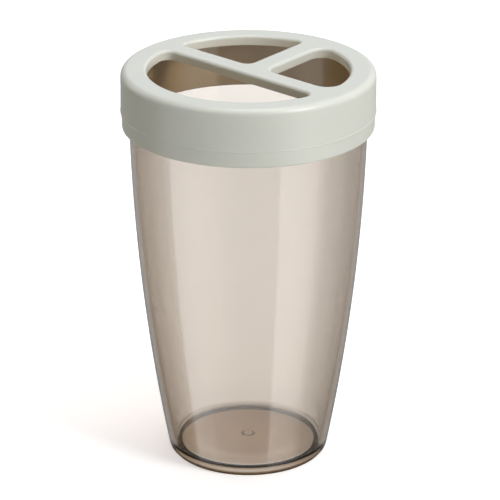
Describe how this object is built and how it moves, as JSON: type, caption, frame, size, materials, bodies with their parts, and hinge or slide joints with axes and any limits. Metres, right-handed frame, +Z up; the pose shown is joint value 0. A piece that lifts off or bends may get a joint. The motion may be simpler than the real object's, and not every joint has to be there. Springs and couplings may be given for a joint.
{
  "type": "toothbrush holder",
  "caption": "Tall smoked see-through tumbler with a curved taper and a pale satin lift-off lid, whose slanting bars part its top into openings for toothbrushes and toothpaste",
  "frame": {"origin": "the middle of the base, on the surface that the tumbler stands on", "axes": "+Z is up, along the axis of the tumbler; -Y is the front, where the large opening is; +X is to the right as seen from the front"},
  "size_m": [0.0782, 0.0782, 0.126],
  "materials": {
    "smoked_plastic": "clear smoked plastic, polished inside and out",
    "satin_plastic": "opaque pale grey-green plastic with a fine satin grain"
  },
  "bodies": {
    "tumbler": {"tumbler": "smoked_plastic"},
    "lid": {"lid": "satin_plastic"}
  },
  "joints": [
    {"name": "lid_lift", "type": "slide", "parent": "tumbler", "child": "lid", "axis": [0, 0, 1], "range_m": [0, 0.04]}
  ]
}
